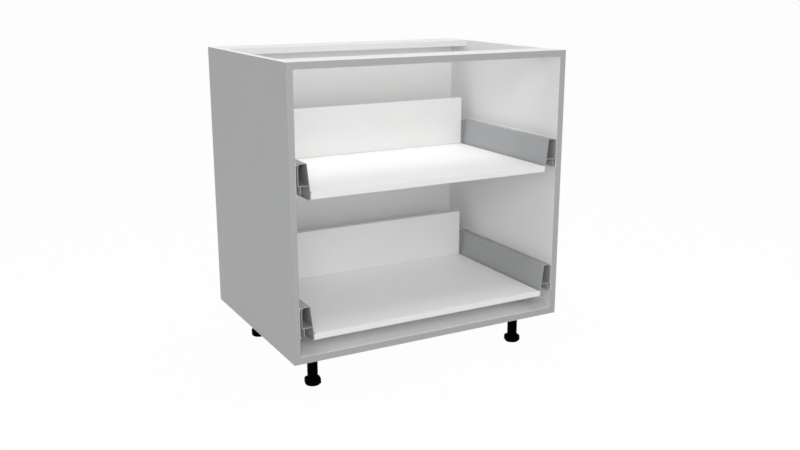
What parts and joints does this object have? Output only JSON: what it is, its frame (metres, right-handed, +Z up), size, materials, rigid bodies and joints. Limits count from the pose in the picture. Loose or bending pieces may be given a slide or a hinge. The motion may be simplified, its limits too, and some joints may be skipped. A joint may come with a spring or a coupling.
{
  "type": "kitchen base cabinet",
  "caption": "Kitchen base cabinet carcass on height-adjusting legs, open at the front, with metal-sided drawers on roller runners and no drawer fronts.",
  "frame": {"origin": "on the floor, under the middle of the cabinet's box", "axes": "+Z up, the open front faces -Y, +X to the right as seen from the front"},
  "size_m": [0.8, 0.57, 0.839],
  "materials": {
    "faced_board": "white melamine facing on chipboard, grey on the outside faces",
    "edge_band": "grey ABS edge band, fine matt grain",
    "beech": "turned beech, fluted",
    "cam_steel": "zinc-plated steel",
    "cam_zinc": "die-cast zinc",
    "runner_steel": "roll-formed zinc-plated steel",
    "screw_steel": "zinc-plated steel",
    "leg_plastic": "moulded black plastic, satin",
    "foot_plastic": "moulded black plastic, matt",
    "drawer_board": "white melamine facing on chipboard",
    "side_steel": "grey powder coat on roll-formed steel sheet",
    "catch_zinc": "moulded grey plastic",
    "cage_plastic": "natural acetal plastic"
  },
  "bodies": {
    "carcass": {"side_panel_left": "faced_board", "side_panel_right": "faced_board", "bottom_panel": "faced_board", "front_rail": "faced_board", "rear_rail": "faced_board", "back_panel": "faced_board", "edge_band_left": "edge_band", "edge_band_right": "edge_band", "edge_band_bottom": "edge_band", "edge_band_rail": "edge_band", "wood_dowels": "beech", "cam_bolts": "cam_steel", "cam_housings": "cam_zinc", "cabinet_rail_upper_left": "runner_steel", "cabinet_rail_upper_right": "runner_steel", "cabinet_rail_lower_left": "runner_steel", "cabinet_rail_lower_right": "runner_steel", "cabinet_rail_screws": "screw_steel", "leg_socket_screws": "screw_steel", "leg_socket_front_left": "leg_plastic", "leg_shaft_front_left": "leg_plastic", "leg_socket_front_right": "leg_plastic", "leg_shaft_front_right": "leg_plastic", "leg_socket_rear_left": "leg_plastic", "leg_shaft_rear_left": "leg_plastic", "leg_socket_rear_right": "leg_plastic", "leg_shaft_rear_right": "leg_plastic"},
    "upper_drawer": {"upper_drawer_floor": "drawer_board", "upper_drawer_back": "drawer_board", "upper_side_left": "side_steel", "upper_side_right": "side_steel", "upper_bracket_left": "side_steel", "upper_bracket_right": "side_steel", "upper_drawer_rail_left": "runner_steel", "upper_drawer_rail_right": "runner_steel", "upper_front_catches": "catch_zinc", "upper_drawer_screws": "screw_steel"},
    "upper_middle_rails": {"upper_middle_rail_left": "runner_steel", "upper_middle_rail_right": "runner_steel"},
    "upper_fixed_roller_cages": {"upper_fixed_cages": "cage_plastic"},
    "upper_moving_roller_cages": {"upper_moving_cages": "cage_plastic"},
    "lower_drawer": {"lower_drawer_floor": "drawer_board", "lower_drawer_back": "drawer_board", "lower_side_left": "side_steel", "lower_side_right": "side_steel", "lower_bracket_left": "side_steel", "lower_bracket_right": "side_steel", "lower_drawer_rail_left": "runner_steel", "lower_drawer_rail_right": "runner_steel", "lower_front_catches": "catch_zinc", "lower_drawer_screws": "screw_steel"},
    "lower_middle_rails": {"lower_middle_rail_left": "runner_steel", "lower_middle_rail_right": "runner_steel"},
    "lower_fixed_roller_cages": {"lower_fixed_cages": "cage_plastic"},
    "lower_moving_roller_cages": {"lower_moving_cages": "cage_plastic"},
    "front_left_foot": {"foot_front_left": "foot_plastic"},
    "front_right_foot": {"foot_front_right": "foot_plastic"},
    "rear_left_foot": {"foot_rear_left": "foot_plastic"},
    "rear_right_foot": {"foot_rear_right": "foot_plastic"}
  },
  "joints": [
    {"name": "upper_drawer_slide", "type": "slide", "parent": "carcass", "child": "upper_drawer", "axis": [0, -1, 0], "range_m": [0, 0.41]},
    {"name": "upper_middle_rails_slide", "type": "slide", "parent": "carcass", "child": "upper_middle_rails", "axis": [0, -1, 0], "range_m": [0, 0.205]},
    {"name": "upper_fixed_roller_cages_slide", "type": "slide", "parent": "carcass", "child": "upper_fixed_roller_cages", "axis": [0, -1, 0], "range_m": [0, 0.1025]},
    {"name": "upper_moving_roller_cages_slide", "type": "slide", "parent": "carcass", "child": "upper_moving_roller_cages", "axis": [0, -1, 0], "range_m": [0, 0.3075]},
    {"name": "lower_drawer_slide", "type": "slide", "parent": "carcass", "child": "lower_drawer", "axis": [0, -1, 0], "range_m": [0, 0.41]},
    {"name": "lower_middle_rails_slide", "type": "slide", "parent": "carcass", "child": "lower_middle_rails", "axis": [0, -1, 0], "range_m": [0, 0.205]},
    {"name": "lower_fixed_roller_cages_slide", "type": "slide", "parent": "carcass", "child": "lower_fixed_roller_cages", "axis": [0, -1, 0], "range_m": [0, 0.1025]},
    {"name": "lower_moving_roller_cages_slide", "type": "slide", "parent": "carcass", "child": "lower_moving_roller_cages", "axis": [0, -1, 0], "range_m": [0, 0.3075]},
    {"name": "front_left_foot_height", "type": "slide", "parent": "carcass", "child": "front_left_foot", "axis": [0, 0, -1], "range_m": [0, 0.02]},
    {"name": "front_right_foot_height", "type": "slide", "parent": "carcass", "child": "front_right_foot", "axis": [0, 0, -1], "range_m": [0, 0.02]},
    {"name": "rear_left_foot_height", "type": "slide", "parent": "carcass", "child": "rear_left_foot", "axis": [0, 0, -1], "range_m": [0, 0.02]},
    {"name": "rear_right_foot_height", "type": "slide", "parent": "carcass", "child": "rear_right_foot", "axis": [0, 0, -1], "range_m": [0, 0.02]}
  ],
  "couplings": [
    {"joint": "upper_middle_rails_slide", "follows": "upper_drawer_slide", "ratio": 0.5},
    {"joint": "upper_fixed_roller_cages_slide", "follows": "upper_drawer_slide", "ratio": 0.25},
    {"joint": "upper_moving_roller_cages_slide", "follows": "upper_drawer_slide", "ratio": 0.75},
    {"joint": "lower_middle_rails_slide", "follows": "lower_drawer_slide", "ratio": 0.5},
    {"joint": "lower_fixed_roller_cages_slide", "follows": "lower_drawer_slide", "ratio": 0.25},
    {"joint": "lower_moving_roller_cages_slide", "follows": "lower_drawer_slide", "ratio": 0.75}
  ]
}
